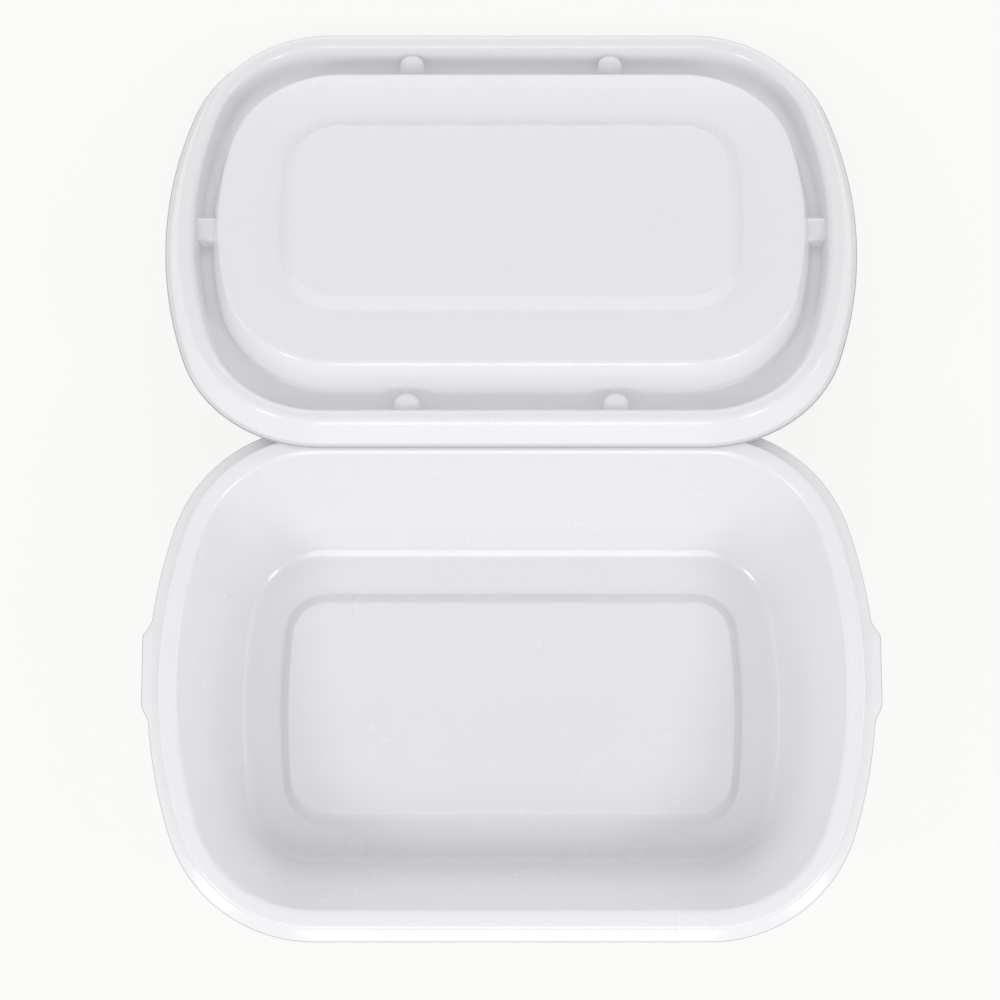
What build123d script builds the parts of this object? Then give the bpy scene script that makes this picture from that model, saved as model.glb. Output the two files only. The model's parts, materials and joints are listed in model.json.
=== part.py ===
"""Food container with a loose lid, each formed from one thin white plastic sheet.

Millimetres, +Z up. The origin is on the table under the middle of the container.
+X runs along the long side and +Y points to the back, where the lid leans on the rim.
"""

from build123d import *
import math
import os
from typing import NamedTuple

# The sheet, and the length by which working blocks run on below it
wall = 0.8
overrun = 12.0

# The rim outline, which the container's flange and the lid's lip share
rim_half_length = 110.0
rim_half_width = 79.1
rim_corner_radius = 46.0
rim_bow_angle = 17.8

# The container's bead and flange
container_height = 46.0
bead_height = 2.0
bead_width = 5.5
bead_draft_angle = 10.0
mouth_bevel = 1.6
flange_width = 3.5
flange_fall = 1.4

# The finger tabs
tab_reach = 1.7
tab_root = 2.6
tab_length = 20.4
tab_shoulder = 10.0
tab_offset = 4.0

# The container's wall and the ring that it stands on
wall_run = 19.0
floor_round = 4.5
ring_width_end = 9.4
ring_width_side = 13.7

# The floor panel, pushed up so that the container stands on the ring
panel_corner_radius = 13.0
panel_bow_angle = 6.0
panel_rise = 2.7
panel_slope = 3.2

# How the lid fits the container, and how the next container stacks on the lid
lip_setback = 0.4
lip_clearance = 1.0
stack_clearance = 0.2
stack_headroom = 0.2

# The lid's heights above the plane under its lip
crest_height = 8.6
moat_height = 1.4
plateau_height = 12.2
lug_height = 5.4

# The lid's skirt, crest and moat
skirt_draft_angle = 23.0
crest_width = 4.3
crest_bevel = 1.1
moat_slope = 2.6
moat_width_end = 3.3
moat_width_side = 8.6

# The lid's plateau and raised panel
plateau_corner_radius = 33.5
plateau_bow_angle = 16.0
plateau_slope = 3.2
plateau_bevel = 1.2
lid_panel_corner_radius = 17.0
lid_panel_bow_angle = 4.5

# The lugs that bridge and stand in the moat
lug_draft_angle = 15.0
boss_radius = 4.4
boss_spacing = 64.0
boss_setback = 13.5
block_length = 10.0
block_width = 9.6
block_setback = 13.35

# The lean of the lid on the container's bead
lean_setback = 2.9
lean_gap = 0.4

# Shares
tight_share = 0.01
hidden_bevel_share = 0.36


class Outline(NamedTuple):
    """A closed outline with straight long sides, round corners and bowed ends."""

    half_length: float
    half_width: float
    corner_radius: float
    bow_angle: float

    def inset(self, depth):
        """The outline moved inwards all round."""
        return Outline(
            self.half_length - depth,
            self.half_width - depth,
            self.corner_radius - depth,
            self.bow_angle,
        )

    def draw(self):
        """Draws the outline as a face of the sketch that is open."""
        bow = math.radians(self.bow_angle)
        corner_y = self.half_width - self.corner_radius
        end_radius = self.corner_radius + corner_y / math.sin(bow)
        end_x = self.half_length - end_radius
        corner_x = end_x + (end_radius - self.corner_radius) * math.cos(bow)
        with BuildLine() as loop:
            side = Line((-corner_x, self.half_width), (corner_x, self.half_width))
            end = CenterArc((end_x, 0), end_radius, -self.bow_angle, 2 * self.bow_angle)
            corner = CenterArc(
                (corner_x, corner_y), self.corner_radius, self.bow_angle, 90 - self.bow_angle
            )
            mirror(side, about=Plane.XZ)
            mirror(end, about=Plane.YZ)
            mirror(corner, about=Plane.YZ)
            opposite = mirror(corner, about=Plane.XZ)
            mirror(opposite, about=Plane.YZ)
        make_face(loop.edges())


def step(plane, low, high, foot, top, mode=Mode.ADD):
    """Raises or cuts a sloping step from a foot outline up to a top outline."""
    with BuildSketch(plane.offset(low)) as lower:
        foot.draw()
    with BuildSketch(plane.offset(high)) as upper:
        top.draw()
    loft([lower.sketch, upper.sketch], ruled=True, mode=mode)


def edges_at(plane, height):
    """The edges that lie level in a plane at a height above it."""
    axis = Axis(plane.origin, plane.z_dir)
    tight = wall * tight_share
    return edges().filter_by_position(axis, height - tight, height + tight)


def face_at(plane, height):
    """The flat face that lies in a plane at a height above it."""
    axis = Axis(plane.origin, plane.z_dir)
    tight = wall * tight_share
    flats = faces().filter_by(GeomType.PLANE)
    return flats.filter_by_position(axis, height - tight, height + tight)[0]


def ease(sharp_edges, bevel, skin):
    """Bevels the edges of the sheet's shown face, or the hollow edges one wall behind them."""
    chamfer(sharp_edges, length=bevel - hidden_bevel_share * skin)


# Outlines of the container
crease_height = container_height - bead_height
flange_height = crease_height - flange_fall
bead_lean = bead_height * math.tan(math.radians(bead_draft_angle))
rim = Outline(rim_half_length, rim_half_width, rim_corner_radius, rim_bow_angle)
bead_foot = rim.inset(flange_width)
bead_top = bead_foot.inset(bead_lean)
mouth = bead_foot.inset(bead_width)
toe = mouth.inset(wall_run)
panel_foot = Outline(
    toe.half_length - ring_width_end,
    toe.half_width - ring_width_side,
    panel_corner_radius,
    panel_bow_angle,
)
panel_top = panel_foot.inset(panel_slope)


def draw_flange():
    """Draws the rim outline with a finger tab at each end."""
    half_tip = tab_length / 2
    half_root = half_tip + tab_shoulder
    rim.draw()
    with BuildLine() as sides:
        Polyline(
            (rim_half_length - tab_root, tab_offset - half_root),
            (rim_half_length + tab_reach, tab_offset - half_tip),
            (rim_half_length + tab_reach, tab_offset + half_tip),
            (rim_half_length - tab_root, tab_offset + half_root),
            close=True,
        )
    tab = make_face(sides.edges())
    mirror(tab, about=Plane.YZ)


def container_form(skin):
    """All that lies under the sheet's upper face, or under its lower face one wall deeper."""
    floor = wall - skin
    bead = container_height - skin
    crease = crease_height - skin + skin * flange_fall / flange_width
    floor_outline = toe.inset(-wall_run * floor / container_height)
    with BuildSketch(Plane.XY.offset(-overrun)) as flange:
        draw_flange()
    extrude(flange.sketch, amount=overrun + flange_height - skin)
    step(Plane.XY, flange_height - skin, crease, rim, bead_foot.inset(skin))
    step(Plane.XY, crease, bead, bead_foot.inset(skin), bead_top.inset(skin))
    step(
        Plane.XY,
        floor,
        container_height,
        floor_outline.inset(-skin),
        mouth.inset(-skin),
        mode=Mode.SUBTRACT,
    )
    ease(face_at(Plane.XY, bead).inner_wires()[0].edges(), mouth_bevel, skin)
    fillet(edges_at(Plane.XY, floor), radius=floor_round + skin)
    step(Plane.XY, floor, floor + panel_rise, panel_foot.inset(skin), panel_top.inset(skin))


with BuildPart() as container_upper:
    container_form(0)
with BuildPart() as container_lower:
    container_form(wall)
with BuildPart() as container:
    add(container_upper.part)
    add(container_lower.part, mode=Mode.SUBTRACT)
container.part.label = "container"

# Outlines of the lid
skirt_lean = (crest_height - wall) * math.tan(math.radians(skirt_draft_angle))
lip = rim.inset(lip_setback)
skirt_foot = rim.inset(flange_width - wall - lip_clearance)
lip_corner = skirt_foot.inset(wall)
crest_edge = skirt_foot.inset(skirt_lean)
moat_edge = crest_edge.inset(crest_width)
moat_foot = moat_edge.inset(moat_slope)
plateau_foot = Outline(
    moat_foot.half_length - moat_width_end,
    moat_foot.half_width - moat_width_side,
    plateau_corner_radius,
    plateau_bow_angle,
)
plateau_edge = plateau_foot.inset(plateau_slope)
stack_inset = wall + stack_clearance
lid_panel_foot = Outline(
    panel_foot.half_length - stack_inset,
    panel_foot.half_width - stack_inset,
    lid_panel_corner_radius,
    lid_panel_bow_angle,
)
lid_panel_top = lid_panel_foot.inset(panel_slope)
lid_panel_height = plateau_height + panel_rise - stack_headroom

# The lid leans with the inner corner of its near lip on the bead and its far lip on the table
lean_height = container_height + lean_gap
lean = math.asin(lean_height / (lip_corner.half_width + lip.half_width))
lid_plane = Plane(
    origin=(
        0,
        mouth.half_width + lean_setback + lip_corner.half_width * math.cos(lean),
        lean_height - lip_corner.half_width * math.sin(lean),
    ),
    x_dir=(1, 0, 0),
    z_dir=(0, math.sin(lean), math.cos(lean)),
)


def lid_form(skin):
    """All that lies under the sheet's outer face, or under its inner face one wall deeper."""
    crest = crest_height - skin
    moat = moat_height - skin
    plateau = plateau_height - skin
    panel = lid_panel_height - skin
    with BuildSketch(lid_plane.offset(-overrun)) as lip_block:
        lip.draw()
    extrude(lip_block.sketch, amount=overrun + wall - skin)
    step(lid_plane, wall - skin, crest, skirt_foot.inset(skin), crest_edge.inset(skin))
    step(lid_plane, moat, crest, moat_foot.inset(-skin), moat_edge.inset(-skin), Mode.SUBTRACT)
    ease(edges_at(lid_plane, crest), crest_bevel, skin)
    step(lid_plane, moat, plateau, plateau_foot.inset(skin), plateau_edge.inset(skin))
    ease(edges_at(lid_plane, plateau), plateau_bevel, skin)
    step(lid_plane, plateau, panel, lid_panel_foot.inset(skin), lid_panel_top.inset(skin))
    boss_y = 2 * (lip.half_width - boss_setback)
    block_x = 2 * (lip.half_length - block_setback)
    with BuildSketch(lid_plane.offset(moat)) as lugs:
        with GridLocations(boss_spacing, boss_y, 2, 2):
            Circle(boss_radius - skin)
        with GridLocations(block_x, 0, 2, 1):
            Rectangle(block_width, block_length - 2 * skin)
    extrude(lugs.sketch, amount=lug_height - moat_height, taper=lug_draft_angle)


with BuildPart() as lid_outer:
    lid_form(0)
with BuildPart() as lid_inner:
    lid_form(wall)
with BuildPart() as lid:
    add(lid_outer.part)
    add(lid_inner.part, mode=Mode.SUBTRACT)
lid.part.label = "lid"

os.makedirs("parts", exist_ok=True)
export_step(container.part, "parts/container.step")
export_step(lid.part, "parts/lid.step")
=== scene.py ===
"""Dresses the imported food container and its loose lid, and sets them on a pale studio floor.

Both pieces are thin sheets. Each is drawn as closed outlines at rising and falling heights,
bridged from the rim inwards, rounded along its creases and given the thickness of the sheet.
Lengths are in metres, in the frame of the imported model.
"""

import json
import math
from typing import NamedTuple

import bmesh
import bpy
from bpy.props import FloatProperty, FloatVectorProperty, IntProperty, PointerProperty
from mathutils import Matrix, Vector

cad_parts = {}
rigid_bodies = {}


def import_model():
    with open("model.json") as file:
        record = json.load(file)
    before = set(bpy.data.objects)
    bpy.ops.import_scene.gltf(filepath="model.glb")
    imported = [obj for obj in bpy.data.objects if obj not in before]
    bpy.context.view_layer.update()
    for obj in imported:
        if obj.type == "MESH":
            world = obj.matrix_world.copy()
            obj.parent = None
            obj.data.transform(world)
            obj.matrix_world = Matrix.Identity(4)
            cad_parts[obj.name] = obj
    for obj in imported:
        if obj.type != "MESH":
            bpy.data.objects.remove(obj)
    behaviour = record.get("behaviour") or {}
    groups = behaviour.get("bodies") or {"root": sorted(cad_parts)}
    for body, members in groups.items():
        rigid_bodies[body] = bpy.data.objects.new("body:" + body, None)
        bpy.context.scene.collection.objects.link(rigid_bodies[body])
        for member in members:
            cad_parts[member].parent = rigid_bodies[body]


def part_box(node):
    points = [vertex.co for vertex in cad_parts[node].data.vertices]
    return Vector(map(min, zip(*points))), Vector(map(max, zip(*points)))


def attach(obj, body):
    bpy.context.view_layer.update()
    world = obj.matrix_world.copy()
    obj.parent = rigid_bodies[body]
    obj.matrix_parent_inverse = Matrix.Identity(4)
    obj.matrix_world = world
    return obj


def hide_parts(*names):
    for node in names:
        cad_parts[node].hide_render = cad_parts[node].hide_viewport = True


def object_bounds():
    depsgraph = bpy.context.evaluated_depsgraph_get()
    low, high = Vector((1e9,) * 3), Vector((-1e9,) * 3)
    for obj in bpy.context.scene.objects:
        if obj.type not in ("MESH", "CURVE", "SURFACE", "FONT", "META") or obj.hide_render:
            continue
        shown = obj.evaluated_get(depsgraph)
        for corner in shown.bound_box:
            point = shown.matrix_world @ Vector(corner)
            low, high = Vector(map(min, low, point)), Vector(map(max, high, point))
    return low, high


bl_info = {
    "name": "Food Container with Lid",
    "version": (1, 0, 0),
    "blender": (4, 5, 0),
    "location": "View3D > Sidebar > Container",
    "description": "Models the container, its leaning lid and the studio floor",
    "category": "Object",
}

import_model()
CAD_BOX = [list(corner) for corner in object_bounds()]
CONTAINER_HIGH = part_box("container")[1]

MM = 0.001

# Points closer than this are one point
TIGHT = 0.01 * MM

# How far each finger tab stands out past the rim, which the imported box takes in
TAB_REACH = 1.7 * MM

# A tab's shoulder from its root to its tip: where each step starts, as a share of the shoulder,
# and the share of the way out to the tab's edge that the step leaves
SHOULDER_STEPS = ((0.85, 0.9), (0.65, 0.75), (0.45, 0.65), (0.25, 0.45), (0.1, 0.35), (0, 0))

# Faces across the rounds of the cut edge and of the lugs, and edges round a boss
CUT_STEPS = 3
LUG_STEPS = 4
BOSS_STEPS = 64

# Edges that turn by more than this get the cut edge's round, or a crease in the shading
CUT_ANGLE = math.radians(65)
CREASE_ANGLE = math.radians(35)

# Layers of finer noise in the clouds, in the grain and in the knife's marks
CLOUD_LAYERS = 1.0
GRAIN_LAYERS = 2.0
MARK_LAYERS = 3.0


def length(title, note, default):
    """A length that a user can change."""
    return FloatProperty(
        name=title,
        description=note,
        default=default,
        precision=5,
        unit="LENGTH",
        subtype="DISTANCE",
    )


def turn(title, note, degrees):
    """An angle that a user can change."""
    return FloatProperty(
        name=title,
        description=note,
        default=math.radians(degrees),
        unit="ROTATION",
        subtype="ANGLE",
    )


def place(title, note, default):
    """A place that a user can change."""
    return FloatVectorProperty(
        name=title, description=note, default=default, size=3, unit="LENGTH", subtype="TRANSLATION"
    )


def share(title, note, default):
    """A share between nothing and all that a user can change."""
    return FloatProperty(
        name=title, description=note, default=default, min=0, max=1, subtype="FACTOR"
    )


def colour(title, note, default):
    """A colour that a user can change."""
    return FloatVectorProperty(
        name=title, description=note, default=default, size=3, min=0, max=1, subtype="COLOR"
    )


def count(title, note, default, least):
    """A number of edges or faces that a user can change."""
    return IntProperty(name=title, description=note, default=default, min=least)


def power(title, note, default):
    """The power of a lamp that a user can change."""
    return FloatProperty(name=title, description=note, default=default, min=0, unit="POWER")


class SheetSizes(bpy.types.PropertyGroup):
    """Sizes that both pieces share."""

    wall: length("Wall", "Thickness of the formed sheet", 0.8 * MM)
    cut_round: length("Cut round", "Rounding of the sheet's cut edge", 0.33 * MM)
    half_length: length(
        "Rim half length", "From the middle to the end of the rim", CONTAINER_HIGH[0] - TAB_REACH
    )
    half_width: length(
        "Rim half width", "From the middle to the side of the rim", CONTAINER_HIGH[1]
    )
    corner_radius: length("Rim corner radius", "Radius of the rim's corners", 46.0 * MM)
    bow: turn("Rim bow", "Half the angle that each bowed end of the rim spans", 17.8)
    end_steps: count("End steps", "Edges along half of a bowed end", 44, least=4)
    corner_steps: count("Corner steps", "Edges round a corner", 34, least=4)
    side_steps: count("Side steps", "Edges along half of a long side", 10, least=1)
    round_steps: count("Round steps", "Faces across a rounded crease", 6, least=2)


class ContainerSizes(bpy.types.PropertyGroup):
    """Sizes of the container."""

    height: length("Height", "From the table to the top of the bead", CONTAINER_HIGH[2])
    flange_width: length("Flange width", "Width of the flange outside the bead", 3.5 * MM)
    flange_fall: length("Flange fall", "How far the flange droops towards its edge", 1.4 * MM)
    crease_round: length("Crease round", "Rounding between the flange and the bead", 0.2 * MM)
    bead_height: length("Bead height", "Rise of the bead above the flange", 2.0 * MM)
    bead_lean: length("Bead lean", "How far the bead's outer wall leans in", 0.35 * MM)
    bead_round: length("Bead round", "Rounding of the bead's outer edge", 0.8 * MM)
    bead_width: length("Bead width", "From the foot of the bead to the mouth", 5.5 * MM)
    mouth_round: length("Mouth round", "Rounding from the bead down into the wall", 1.8 * MM)
    toe_half_length: length("Toe half length", "Half length at the foot of the wall", 83.8 * MM)
    toe_half_width: length("Toe half width", "Half width at the foot of the wall", 49.2 * MM)
    toe_corner_radius: length("Toe corner radius", "Corner radius at the floor", 22.0 * MM)
    toe_bow: turn("Toe bow", "Half the angle that the floor's ends span", 9.5)
    floor_round: length("Floor round", "Rounding from the wall into the floor", 4.5 * MM)
    panel_half_length: length("Panel half length", "Half length of the floor panel", 71.7 * MM)
    panel_half_width: length("Panel half width", "Half width of the floor panel", 36.6 * MM)
    panel_corner_radius: length("Panel corner radius", "Radius of the panel's corners", 13.0 * MM)
    panel_bow: turn("Panel bow", "Half the angle that the panel's ends span", 6.0)
    panel_rise: length("Panel rise", "Height of the panel above the floor's ring", 2.7 * MM)
    panel_offset: length("Panel offset", "How far the panel sits in front of the middle", 0.9 * MM)
    panel_slope_end: length("Panel slope at the ends", "Run of the panel's slope", 2.2 * MM)
    panel_slope_side: length("Panel slope at the sides", "Run of the panel's slope", 3.3 * MM)
    panel_round: length("Panel round", "Rounding of the panel's edges", 0.8 * MM)
    tab_reach: length("Tab reach", "How far the finger tabs stand out", TAB_REACH)
    tab_length: length("Tab length", "Length of the straight edge of a tab", 21.3 * MM)
    tab_shoulder: length("Tab shoulder", "Length of each shoulder of a tab", 5.6 * MM)
    tab_offset: length("Tab offset", "How far the tabs sit behind the middle", 3.0 * MM)


class LidSizes(bpy.types.PropertyGroup):
    """Sizes of the lid, with heights above the plane under its lip."""

    end_setback: length("End setback", "How far each end of the lid is drawn in", 0.6 * MM)
    lip_setback: length("Lip setback", "How far the lip lies inside the rim", 0.4 * MM)
    skirt_inset: length("Skirt inset", "From the rim to the foot of the skirt", 1.7 * MM)
    skirt_round: length("Skirt round", "Rounding between the lip and the skirt", 0.25 * MM)
    skirt_lean: length("Skirt lean", "How far the skirt leans in", 3.3 * MM)
    crest_height: length("Crest height", "Height of the crest round the moat", 8.6 * MM)
    crest_width: length("Crest width", "Width of the crest", 4.3 * MM)
    crest_round: length("Crest round", "Rounding of the crest's two edges", 2.2 * MM)
    moat_height: length("Moat height", "Height of the moat's floor", 1.4 * MM)
    moat_slope: length("Moat slope", "Run of the slope down into the moat", 2.6 * MM)
    moat_round: length("Moat round", "Rounding of the moat's lower corners", 1.2 * MM)
    plateau_height: length("Plateau height", "Height of the plateau", 12.2 * MM)
    plateau_half_length: length("Plateau half length", "Half length of the plateau", 91.6 * MM)
    plateau_half_width: length("Plateau half width", "Half width of the plateau", 55.4 * MM)
    plateau_corner_radius: length("Plateau corner radius", "Radius of its corners", 34.5 * MM)
    plateau_bow: turn("Plateau bow", "Half the angle that the plateau's ends span", 13.0)
    plateau_slope_end: length("Plateau slope at the ends", "Run of the plateau's wall", 2.6 * MM)
    plateau_slope_side: length("Plateau slope at the sides", "Run of the plateau's wall", 3.7 * MM)
    plateau_round: length("Plateau round", "Rounding of the plateau's edge", 1.5 * MM)
    panel_half_length: length("Panel half length", "Half length of the raised panel", 71.6 * MM)
    panel_half_width: length("Panel half width", "Half width of the raised panel", 36.4 * MM)
    panel_corner_radius: length("Panel corner radius", "Corner radius of the panel", 17.0 * MM)
    panel_bow: turn("Panel bow", "Half the angle that the panel's ends span", 4.5)
    panel_rise: length("Panel rise", "Height of the panel above the plateau", 2.5 * MM)
    panel_slope_end: length("Panel slope at the ends", "Run of the panel's slope", 2.6 * MM)
    panel_slope_side: length("Panel slope at the sides", "Run of the panel's slope", 3.7 * MM)
    panel_round: length("Panel round", "Rounding of the panel's edges", 1.0 * MM)
    lug_height: length("Lug height", "Height of the lugs in the moat", 5.4 * MM)
    lug_draft: length("Lug draft", "How far a lug's sides lean in", 0.9 * MM)
    lug_round: length("Lug round", "Rounding of a lug's upper edge", 1.3 * MM)
    boss_radius: length("Boss radius", "Radius of the round lugs at their foot", 4.4 * MM)
    boss_spacing: length("Boss spacing", "Between the two round lugs of a side", 64.0 * MM)
    boss_setback: length("Boss setback", "From the lip's edge to a round lug", 13.5 * MM)
    block_length: length("Block length", "Length of the square lugs along the moat", 10.0 * MM)
    block_width: length("Block width", "Width of the square lugs across the moat", 9.6 * MM)
    block_setback: length("Block setback", "From the lip's edge to a square lug", 13.35 * MM)
    lean: turn("Lean", "How far the lid leans on the container", 17.384)
    place_y: length("Place behind", "From the container's middle to the lid's", 146.1 * MM)
    place_z: length("Place above", "Height of the lid's middle above the table", 23.515 * MM)


class PlasticLook(bpy.types.PropertyGroup):
    """Look of the white plastic."""

    bright: colour("Bright white", "Colour of most of the sheet", (0.83, 0.833, 0.856))
    dull: colour("Dull white", "Colour of the cloudy patches", (0.822, 0.825, 0.848))
    # The edge grey is painted shade: it stands in for the dark line that shade draws along the
    # sheet's edge
    edge: colour("Edge grey", "Colour of the sheet's cut edge", (0.42, 0.425, 0.45))
    cloud_size: length("Cloud size", "Size of the cloudy patches in the sheet", 18.0 * MM)
    grain_size: length("Grain size", "Size of the grain on the surface", 0.7 * MM)
    grain_depth: length("Grain depth", "Depth of the grain on the surface", 0.0015 * MM)
    grain_strength: share("Grain strength", "How much of the grain shows", 0.5)
    smooth: share("Smoothest", "Roughness where the sheet is smoothest", 0.24)
    rough: share("Roughest", "Roughness where the sheet is roughest", 0.29)
    coat: share("Coat", "How glossy the skin of the sheet is", 0.5)
    coat_roughness: share("Coat roughness", "Roughness of the skin's gloss", 0.12)
    edge_marks: share("Edge marks", "How white the knife's marks in the cut edge are", 0.3)
    edge_smooth: share("Edge smoothest", "Roughness where the cut edge is smoothest", 0.45)
    edge_uneven: share("Edge unevenness", "How much rougher the cut edge is in places", 0.2)


class StudioLook(bpy.types.PropertyGroup):
    """Floor, sky, lamps and camera."""

    floor_colour: colour("Floor colour", "Colour that the camera sees", (0.958, 0.958, 0.942))
    floor_glow: share("Floor glow", "Share of the floor's look that takes no shadow", 0.9)
    floor_size: length("Floor size", "Length of the floor's sides", 6.0)
    floor_drop: length("Floor drop", "Gap that keeps the floor clear of the container", 0.1 * MM)
    sky_colour: colour("Sky colour", "Colour of the light all round", (0.95, 0.95, 0.95))
    sky: FloatProperty(
        name="Sky", description="Strength of the light all round", default=0.71, min=0
    )
    front: power("Front lamp", "Power of the lamp in front", 1.5)
    front_place: place("Front lamp place", "Where the lamp in front hangs", (0, -1.3, 0.6))
    front_size: length("Front lamp size", "Length of the front lamp's sides", 0.35)
    high: power("High lamp", "Power of the lamp high in front", 1.8)
    high_place: place("High lamp place", "Where the lamp high in front hangs", (0, -0.9, 1.0))
    high_size: length("High lamp size", "Length of the high lamp's sides", 0.4)
    side: power("Side lamps", "Power of each lamp at the sides", 2.7)
    side_place: place("Side lamp place", "Where the lamp at the right hangs", (0.85, -0.6, 0.9))
    side_size: length("Side lamp size", "Length of the side lamps' sides", 0.25)
    low: power("Low lamps", "Power of each low lamp at the sides", 0.9)
    low_place: place("Low lamp place", "Where the low lamp at the right hangs", (1.3, 0.25, 0.35))
    low_size: length("Low lamp size", "Length of the low lamps' sides", 0.3)
    back: power("Back lamp", "Power of the lamp behind", 2.6)
    back_place: place("Back lamp place", "Where the lamp behind hangs", (0, 1.4, 0.5))
    back_width: length("Back lamp width", "Width of the lamp behind", 1.0)
    back_depth: length("Back lamp depth", "Depth of the lamp behind", 0.3)
    camera_place: place(
        "Camera place", "Where the camera stands", (-3.53 * MM, -214.17 * MM, 1147.3 * MM)
    )
    camera_tip: turn("Camera tip", "How far the camera tips up from looking straight down", 13.74)
    lens: FloatProperty(
        name="Lens", description="Focal length on a 36 mm sensor", default=134.22, unit="CAMERA"
    )


class Outline(NamedTuple):
    """A closed outline with straight long sides, round corners and bowed ends."""

    half_length: float
    half_width: float
    corner_radius: float
    bow: float

    def inset(self, end, side=None):
        """The outline moved inwards, by a different depth at the sides if one is given."""
        side = end if side is None else side
        return Outline(
            self.half_length - end,
            self.half_width - side,
            self.corner_radius - min(end, side),
            self.bow,
        )

    @property
    def corner_y(self):
        """Centre of the corner, measured across."""
        return self.half_width - self.corner_radius

    @property
    def corner_x(self):
        """Centre of the corner, measured along."""
        return self.half_length - self.corner_radius - self.corner_y * math.tan(self.bow / 2)

    @property
    def end_x(self):
        """Centre of the bowed end, measured along."""
        return self.half_length - self.corner_radius - self.corner_y / math.sin(self.bow)


class Ring(NamedTuple):
    """One closed crease of a sheet: its outline, its height and how round it is."""

    name: str
    outline: Outline
    height: float
    radius: float


class Value:
    """A shader value, so that sums and products of values read as plain arithmetic."""

    def __init__(self, tree, socket=None):
        self.tree = tree
        self.socket = socket

    def node(self, kind, settings, sockets, output=0):
        """Adds any node, sets it up, fills or links its sockets and gives one of its outputs."""
        made = self.tree.nodes.new(kind)
        for name, setting in settings.items():
            setattr(made, name, setting)
        for name, value in sockets.items():
            if isinstance(value, Value):
                value.feed(made.inputs[name])
            else:
                made.inputs[name].default_value = value
        return Value(self.tree, made.outputs[output])

    def feed(self, target):
        """Links this value to a socket."""
        self.tree.links.new(self.socket, target)

    def __add__(self, other):
        return self.node("ShaderNodeMath", {"operation": "ADD"}, {0: self, 1: other})

    __radd__ = __add__

    def __mul__(self, other):
        return self.node("ShaderNodeMath", {"operation": "MULTIPLY"}, {0: self, 1: other})

    __rmul__ = __mul__


def new_material(name):
    """A material with an empty tree, the start of its nodes, and the socket for its surface."""
    material = bpy.data.materials.new(name)
    material.use_nodes = True
    material.node_tree.nodes.clear()
    output = material.node_tree.nodes.new("ShaderNodeOutputMaterial")
    return material, Value(material.node_tree), output.inputs["Surface"]


def noise(start, size, layers):
    """Noise that runs through the whole piece, in patches of a size."""
    spot = start.node("ShaderNodeTexCoord", {}, {}, "Object")
    return start.node(
        "ShaderNodeTexNoise", {}, {"Vector": spot, "Scale": 1 / size, "Detail": layers}
    )


def mix_colours(start, factor, first, second):
    """A colour between two colours."""
    return start.node(
        "ShaderNodeMix",
        {"data_type": "RGBA"},
        {"Factor": factor, "A": (*first, 1), "B": (*second, 1)},
        "Result",
    )


def satin_white(look):
    """Satin white sheet plastic: faint clouds in the colour, a fine grain, an uneven gloss."""
    material, start, surface = new_material("satin_white")
    clouds = noise(start, look.cloud_size, CLOUD_LAYERS)
    grain = noise(start, look.grain_size, GRAIN_LAYERS)
    bumps = start.node(
        "ShaderNodeBump",
        {},
        {"Height": grain, "Distance": look.grain_depth, "Strength": look.grain_strength},
    )
    shader = start.node(
        "ShaderNodeBsdfPrincipled",
        {},
        {
            "Base Color": mix_colours(start, clouds, look.bright, look.dull),
            "Roughness": look.smooth + (look.rough - look.smooth) * clouds,
            "Normal": bumps,
            "Coat Weight": look.coat,
            "Coat Roughness": look.coat_roughness,
        },
    )
    shader.feed(surface)
    return material


def painted_shade_cut_edge(look):
    """The sheet's cut edge: rougher than its faces, with the marks of the knife, and greyer as
    painted shade for the dark line along the sheet's edge.
    """
    material, start, surface = new_material("painted_shade_cut_edge")
    marks = noise(start, look.grain_size, MARK_LAYERS)
    shader = start.node(
        "ShaderNodeBsdfPrincipled",
        {},
        {
            # The grey of the cut edge is painted shade along the sheet's edge; the knife's marks
            # lighten it at random
            "Base Color": mix_colours(start, look.edge_marks * marks, look.edge, look.dull),
            "Roughness": look.edge_smooth + look.edge_uneven * marks,
        },
    )
    shader.feed(surface)
    return material


# The finishes of every piece, in the order of its material slots
FINISHES = (satin_white, painted_shade_cut_edge)
EDGE_SLOT = FINISHES.index(painted_shade_cut_edge)


def start_piece(name):
    """Opens a new piece in edit mode, with its materials and nothing in it yet."""
    look = bpy.context.scene.container_plastic
    bpy.ops.object.select_all(action="DESELECT")
    bpy.ops.mesh.primitive_plane_add(size=MM)
    piece = bpy.context.object
    piece.name = name
    piece.data.name = name
    for finish in FINISHES:
        piece.data.materials.append(bpy.data.materials.get(finish.__name__) or finish(look))
    bpy.ops.object.mode_set(mode="EDIT")
    bpy.ops.mesh.delete(type="VERT")
    return piece


def select_ring(piece, name, extend=False):
    """Selects one closed crease by its vertex group."""
    if not extend:
        bpy.ops.mesh.select_all(action="DESELECT")
    piece.vertex_groups.active_index = piece.vertex_groups[name].index
    bpy.ops.object.vertex_group_select()


def select_where(piece, test):
    """Selects the points whose place passes a test."""
    bpy.ops.mesh.select_all(action="DESELECT")
    mesh = bmesh.from_edit_mesh(piece.data)
    for vertex in mesh.verts:
        vertex.select_set(test(vertex.co))
    mesh.select_flush_mode()
    bmesh.update_edit_mesh(piece.data)


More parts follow.
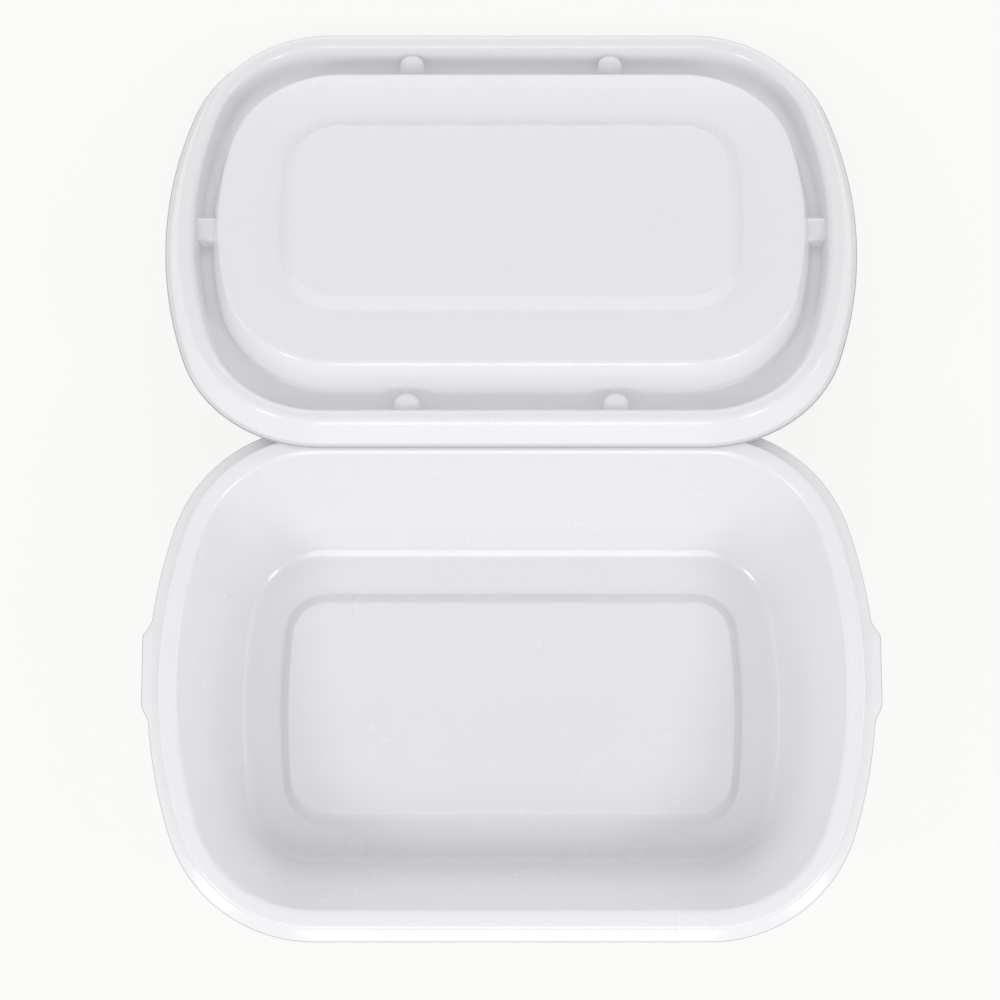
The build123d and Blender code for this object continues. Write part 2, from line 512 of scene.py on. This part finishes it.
def draw_ring(piece, sizes, ring, level):
    """Draws a closed outline: a quarter from arcs and a straight run, then mirrored twice."""
    outline = ring.outline
    bpy.ops.mesh.select_all(action="DESELECT")
    bpy.ops.mesh.primitive_plane_add(size=MM, location=(outline.half_length, 0, level))
    bpy.ops.mesh.merge(type="CENTER")
    bpy.ops.mesh.spin(
        steps=sizes.end_steps,
        angle=-outline.bow,
        center=(outline.end_x, 0, level),
        axis=(0, 0, 1),
    )
    bpy.ops.mesh.spin(
        steps=sizes.corner_steps,
        angle=outline.bow - math.pi / 2,
        center=(outline.corner_x, outline.corner_y, level),
        axis=(0, 0, 1),
    )
    stride = -outline.corner_x / sizes.side_steps
    for _ in range(sizes.side_steps):
        bpy.ops.mesh.extrude_region_move(TRANSFORM_OT_translate={"value": (stride, 0, 0)})
    bpy.ops.mesh.select_linked()
    bpy.ops.object.vertex_group_assign_new()
    piece.vertex_groups.active.name = ring.name
    for flip in ((-1, 1, 1), (1, -1, 1)):
        bpy.ops.mesh.duplicate()
        bpy.ops.transform.resize(value=flip, center_override=(0, 0, 0))
        bpy.ops.object.vertex_group_select()
    bpy.ops.mesh.remove_doubles(threshold=TIGHT)


def apply_modifier(piece, kind, **settings):
    """Adds a modifier to a piece and applies it."""
    modifier = piece.modifiers.new(kind.title(), kind)
    for name, setting in settings.items():
        setattr(modifier, name, setting)
    bpy.ops.object.modifier_apply(modifier=modifier.name)


def turn_at(before, here, after):
    """Angle by which the sheet turns at a crease, seen in its section at the end."""

    def slope(first, second):
        run = first.outline.half_length - second.outline.half_length
        return math.atan2(second.height - first.height, run)

    return abs(slope(here, after) - slope(before, here))


def draw_sheet(piece, sizes, rings):
    """Draws the creases one below the other, bridges them, and moves each to its height."""
    levels = [-step * sizes.half_width for step in range(len(rings))]
    for before, ring, level in zip([None, *rings], rings, levels):
        draw_ring(piece, sizes, ring, level)
        if before:
            select_ring(piece, before.name, extend=True)
            bpy.ops.mesh.bridge_edge_loops()
    select_ring(piece, rings[-1].name)
    bpy.ops.mesh.edge_face_add()
    for ring, level in zip(rings, levels):
        select_ring(piece, ring.name)
        bpy.ops.transform.translate(value=(0, 0, ring.height - level))
    bpy.ops.mesh.select_all(action="SELECT")
    bpy.ops.mesh.normals_make_consistent(inside=False)
    mesh = bmesh.from_edit_mesh(piece.data)
    middle = max(mesh.faces, key=lambda face: len(face.verts))
    if middle.normal.z < 0:
        bpy.ops.mesh.flip_normals()


def round_creases(piece, sizes, rings):
    """Rounds every crease by its own radius, with one bevel that is weighted along the creases."""
    flat = Ring("flat", rings[-1].outline.inset(MM), rings[-1].height, 0)
    setbacks = {
        here.name: here.radius * math.tan(turn_at(before, here, after) / 2)
        for before, here, after in zip(rings, rings[1:], [*rings[2:], flat])
    }
    widest = max(setbacks.values())
    for name, setback in setbacks.items():
        select_ring(piece, name)
        bpy.ops.transform.edge_bevelweight(value=setback / widest)
    bpy.ops.object.mode_set(mode="OBJECT")
    apply_modifier(
        piece,
        "BEVEL",
        width=widest,
        segments=sizes.round_steps,
        limit_method="WEIGHT",
        use_clamp_overlap=False,
    )


def thicken(piece, sizes):
    """Gives the sheet its thickness, behind the face that was drawn, and rounds its cut edge."""
    # The rim and the round of the cut edge take the cut edge's grey, which is painted shade
    apply_modifier(
        piece,
        "SOLIDIFY",
        thickness=sizes.wall,
        offset=-1,
        use_even_offset=True,
        material_offset_rim=EDGE_SLOT,
    )
    apply_modifier(
        piece,
        "BEVEL",
        width=sizes.cut_round,
        segments=CUT_STEPS,
        limit_method="ANGLE",
        angle_limit=CUT_ANGLE,
        material=EDGE_SLOT,
    )


def finish_piece(piece, node):
    """Smooths the shading and stands the piece in for its CAD node."""
    bpy.ops.object.select_all(action="DESELECT")
    piece.select_set(True)
    bpy.context.view_layer.objects.active = piece
    bpy.ops.object.transform_apply(location=True, rotation=True, scale=True)
    bpy.ops.object.shade_smooth_by_angle(angle=CREASE_ANGLE)
    piece.vertex_groups.clear()
    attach(piece, "root")
    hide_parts(node)


def rim_outline(sizes):
    """The outline that the container's flange has and that the lid's lip follows."""
    return Outline(sizes.half_length, sizes.half_width, sizes.corner_radius, sizes.bow)


def draw_tabs(piece, sizes, rim):
    """Pulls the end of the rim out to a straight tab with two shoulders, at both ends."""
    half = sizes.tab_length / 2
    edge = rim.half_length + sizes.tab_reach
    flange = rim.half_length - sizes.flange_width / 2
    for side in (-1, 1):
        for shoulder_share, left_share in SHOULDER_STEPS:
            reach = half + shoulder_share * sizes.tab_shoulder
            select_where(
                piece,
                lambda spot: spot.x * side > flange and abs(spot.y - sizes.tab_offset) < reach,
            )
            bpy.ops.transform.resize(value=(left_share, 1, 1), center_override=(side * edge, 0, 0))


class CONTAINER_OT_container(bpy.types.Operator):
    """Models the container: flange with finger tabs, bead, wall, floor and raised panel"""

    bl_idname = "container.container"
    bl_label = "Container"
    bl_options = {"REGISTER", "UNDO"}

    def execute(self, context):
        sheet = context.scene.container_sheet
        sizes = context.scene.container_sizes
        rim = rim_outline(sheet)
        crease = rim.inset(sizes.flange_width)
        toe = Outline(
            sizes.toe_half_length, sizes.toe_half_width, sizes.toe_corner_radius, sizes.toe_bow
        )
        panel = Outline(
            sizes.panel_half_length,
            sizes.panel_half_width,
            sizes.panel_corner_radius,
            sizes.panel_bow,
        )
        crease_height = sizes.height - sizes.bead_height
        floor = sheet.wall
        rings = [
            Ring("rim", rim, crease_height - sizes.flange_fall, 0),
            Ring("crease", crease, crease_height, sizes.crease_round),
            Ring("bead", crease.inset(sizes.bead_lean), sizes.height, sizes.bead_round),
            Ring("mouth", crease.inset(sizes.bead_width), sizes.height, sizes.mouth_round),
            Ring("toe", toe, floor, sizes.floor_round),
            Ring("panel_foot", panel, floor, sizes.panel_round),
            Ring(
                "panel_edge",
                panel.inset(sizes.panel_slope_end, sizes.panel_slope_side),
                floor + sizes.panel_rise,
                sizes.panel_round,
            ),
        ]
        piece = start_piece("container_shell")
        draw_sheet(piece, sheet, rings)
        for name in ("panel_foot", "panel_edge"):
            select_ring(piece, name)
            bpy.ops.transform.translate(value=(0, -sizes.panel_offset, 0))
        draw_tabs(piece, sizes, rim)
        round_creases(piece, sheet, rings)
        thicken(piece, sheet)
        finish_piece(piece, "container")
        return {"FINISHED"}


def shape_lug(piece, sizes, top, half):
    """Draws in the upper end of the lug that is selected and rounds its edges."""
    mesh = bmesh.from_edit_mesh(piece.data)
    lug = [vertex for vertex in mesh.verts if vertex.select]
    centre = sum((vertex.co for vertex in lug), Vector()) / len(lug)
    bpy.ops.mesh.select_all(action="DESELECT")
    for vertex in lug:
        vertex.select_set(vertex.co.z > top - TIGHT)
    mesh.select_flush_mode()
    bmesh.update_edit_mesh(piece.data)
    drawn_in = [1 - sizes.lug_draft / size for size in half]
    bpy.ops.transform.resize(value=(*drawn_in, 1), center_override=(centre.x, centre.y, top))
    bpy.ops.mesh.bevel(
        offset=sizes.lug_round, segments=LUG_STEPS, affect="EDGES", clamp_overlap=True
    )
    bpy.ops.mesh.select_linked()


def copy_across(flip, everything=False):
    """Copies the lugs that are selected to the other side, and keeps them selected."""
    if everything:
        bpy.ops.mesh.select_all(action="SELECT")
    bpy.ops.mesh.duplicate()
    bpy.ops.transform.resize(value=flip, center_override=(0, 0, 0))


def add_lugs(name, sizes, lip, inset):
    """The four round and two square lugs as one solid, drawn in by an inset for their hollows."""
    low = sizes.moat_height - inset
    top = sizes.lug_height - inset
    piece = start_piece(name)
    boss_y = lip.half_width - sizes.boss_setback
    block_x = lip.half_length - sizes.block_setback
    bpy.ops.mesh.primitive_cylinder_add(
        vertices=BOSS_STEPS,
        radius=sizes.boss_radius - inset,
        depth=top - low,
        location=(sizes.boss_spacing / 2, boss_y, (low + top) / 2),
    )
    shape_lug(piece, sizes, top, (sizes.boss_radius - inset,) * 2)
    copy_across((-1, 1, 1))
    copy_across((1, -1, 1), everything=True)
    bpy.ops.mesh.select_all(action="DESELECT")
    block = (sizes.block_width, sizes.block_length - 2 * inset)
    bpy.ops.mesh.primitive_cube_add(size=1, location=(block_x, 0, (low + top) / 2))
    bpy.ops.transform.resize(
        value=(*block, top - low), center_override=(block_x, 0, (low + top) / 2)
    )
    shape_lug(piece, sizes, top, (block[0] / 2, block[1] / 2))
    copy_across((-1, 1, 1))
    bpy.ops.mesh.select_all(action="SELECT")
    bpy.ops.mesh.normals_make_consistent(inside=False)
    bpy.ops.object.mode_set(mode="OBJECT")
    return piece


class CONTAINER_OT_lid(bpy.types.Operator):
    """Models the lid: lip, skirt, crest, moat with its lugs, plateau and raised panel"""

    bl_idname = "container.lid"
    bl_label = "Lid"
    bl_options = {"REGISTER", "UNDO"}

    def execute(self, context):
        sheet = context.scene.container_sheet
        sizes = context.scene.container_lid
        rim = rim_outline(sheet).inset(sizes.end_setback, 0)
        lip = rim.inset(sizes.lip_setback)
        skirt = rim.inset(sizes.skirt_inset)
        crest = skirt.inset(sizes.skirt_lean)
        moat = crest.inset(sizes.crest_width)
        plateau = Outline(
            sizes.plateau_half_length,
            sizes.plateau_half_width,
            sizes.plateau_corner_radius,
            sizes.plateau_bow,
        )
        panel = Outline(
            sizes.panel_half_length,
            sizes.panel_half_width,
            sizes.panel_corner_radius,
            sizes.panel_bow,
        )
        rings = [
            Ring("lip", lip, sheet.wall, 0),
            Ring("skirt", skirt, sheet.wall, sizes.skirt_round),
            Ring("crest", crest, sizes.crest_height, sizes.crest_round),
            Ring("moat_edge", moat, sizes.crest_height, sizes.crest_round),
            Ring("moat_foot", moat.inset(sizes.moat_slope), sizes.moat_height, sizes.moat_round),
            Ring(
                "plateau_foot",
                plateau.inset(-sizes.plateau_slope_end, -sizes.plateau_slope_side),
                sizes.moat_height,
                sizes.moat_round,
            ),
            Ring("plateau", plateau, sizes.plateau_height, sizes.plateau_round),
            Ring("panel_foot", panel, sizes.plateau_height, sizes.panel_round),
            Ring(
                "panel_edge",
                panel.inset(sizes.panel_slope_end, sizes.panel_slope_side),
                sizes.plateau_height + sizes.panel_rise,
                sizes.panel_round,
            ),
        ]
        piece = start_piece("lid_shell")
        draw_sheet(piece, sheet, rings)
        round_creases(piece, sheet, rings)
        thicken(piece, sheet)
        for inset, operation in ((0, "UNION"), (sheet.wall, "DIFFERENCE")):
            lugs = add_lugs("lugs", sizes, lip, inset)
            bpy.ops.object.select_all(action="DESELECT")
            bpy.context.view_layer.objects.active = piece
            apply_modifier(piece, "BOOLEAN", object=lugs, operation=operation, solver="EXACT")
            bpy.data.objects.remove(lugs)
        piece.rotation_euler.x = -sizes.lean
        piece.location = (0, sizes.place_y, sizes.place_z)
        finish_piece(piece, "lid")
        return {"FINISHED"}


def floor_material(look):
    """A pale floor that the camera and mirrors see evenly lit, with a faint shadow."""
    material, start, surface = new_material("studio_floor")
    seen = [
        start.node("ShaderNodeLightPath", {}, {}, ray)
        for ray in ("Is Camera Ray", "Is Glossy Ray", "Is Transmission Ray")
    ]
    shown = (*look.floor_colour, 1)
    matte = start.node("ShaderNodeBsdfDiffuse", {}, {"Color": shown})
    glow = start.node("ShaderNodeEmission", {}, {"Color": shown, "Strength": 1.0})
    mixed = start.node(
        "ShaderNodeMixShader",
        {},
        {0: look.floor_glow * (seen[0] + seen[1] + seen[2]), 1: matte, 2: glow},
    )
    mixed.feed(surface)
    return material


def add_lamp(name, spot, watts, width, depth):
    """A rectangular area lamp that faces the middle of the object."""
    bpy.ops.object.light_add(type="AREA", location=spot)
    lamp = bpy.context.object
    lamp.name = name
    lamp.data.name = name
    lamp.data.energy = watts
    lamp.data.shape = "RECTANGLE"
    lamp.data.size = width
    lamp.data.size_y = depth
    low, high = (Vector(corner) for corner in CAD_BOX)
    aim = (low + high) / 2 - lamp.location
    lamp.rotation_euler = aim.to_track_quat("-Z", "Y").to_euler()


class CONTAINER_OT_stage(bpy.types.Operator):
    """Lays the pale floor and sets up the sky, the lamps and the camera"""

    bl_idname = "container.stage"
    bl_label = "Stage"
    bl_options = {"REGISTER", "UNDO"}

    def execute(self, context):
        look = context.scene.container_studio
        bpy.ops.object.select_all(action="DESELECT")
        bpy.ops.mesh.primitive_plane_add(size=look.floor_size, location=(0, 0, -look.floor_drop))
        floor = context.object
        floor.name = "studio_floor"
        floor.data.materials.append(floor_material(look))
        world = bpy.data.worlds.new("studio_sky")
        world.use_nodes = True
        backdrop = world.node_tree.nodes["Background"]
        backdrop.inputs["Color"].default_value = (*look.sky_colour, 1)
        backdrop.inputs["Strength"].default_value = look.sky
        context.scene.world = world
        add_lamp("front_lamp", look.front_place, look.front, look.front_size, look.front_size)
        add_lamp("high_lamp", look.high_place, look.high, look.high_size, look.high_size)
        add_lamp("back_lamp", look.back_place, look.back, look.back_width, look.back_depth)
        pairs = (
            ("side", look.side_place, look.side, look.side_size),
            ("low", look.low_place, look.low, look.low_size),
        )
        for hand, side in (("right", 1), ("left", -1)):
            for name, spot, watts, size in pairs:
                mirrored = (side * spot[0], spot[1], spot[2])
                add_lamp(f"{hand}_{name}_lamp", mirrored, watts, size, size)
        bpy.ops.object.camera_add(location=look.camera_place, rotation=(look.camera_tip, 0, 0))
        camera = context.object
        camera.name = "photo_camera"
        camera.data.lens = look.lens
        context.scene.camera = camera
        context.scene.view_settings.view_transform = "Standard"
        return {"FINISHED"}


class CONTAINER_PT_pieces(bpy.types.Panel):
    """Lists the pieces that can be modelled, and their sizes"""

    bl_label = "Food Container"
    bl_space_type = "VIEW_3D"
    bl_region_type = "UI"
    bl_category = "Container"

    def draw(self, context):
        scene = context.scene
        groups = (
            ("container.container", (scene.container_sheet, scene.container_sizes)),
            ("container.lid", (scene.container_lid, scene.container_plastic)),
            ("container.stage", (scene.container_studio,)),
        )
        for operator, settings in groups:
            self.layout.operator(operator)
            for group in settings:
                for name in group.bl_rna.properties.keys():
                    if name not in ("rna_type", "name"):
                        self.layout.prop(group, name)


SETTINGS = {
    "container_sheet": SheetSizes,
    "container_sizes": ContainerSizes,
    "container_lid": LidSizes,
    "container_plastic": PlasticLook,
    "container_studio": StudioLook,
}
CLASSES = (
    *SETTINGS.values(),
    CONTAINER_OT_container,
    CONTAINER_OT_lid,
    CONTAINER_OT_stage,
    CONTAINER_PT_pieces,
)


def register():
    for cls in CLASSES:
        bpy.utils.register_class(cls)
    for name, group in SETTINGS.items():
        setattr(bpy.types.Scene, name, PointerProperty(type=group))


def unregister():
    for name in SETTINGS:
        delattr(bpy.types.Scene, name)
    for cls in reversed(CLASSES):
        bpy.utils.unregister_class(cls)


def main():
    """Models every piece in order."""
    register()
    bpy.ops.container.container()
    bpy.ops.container.lid()
    bpy.ops.container.stage()


if __name__ == "__main__":
    main()
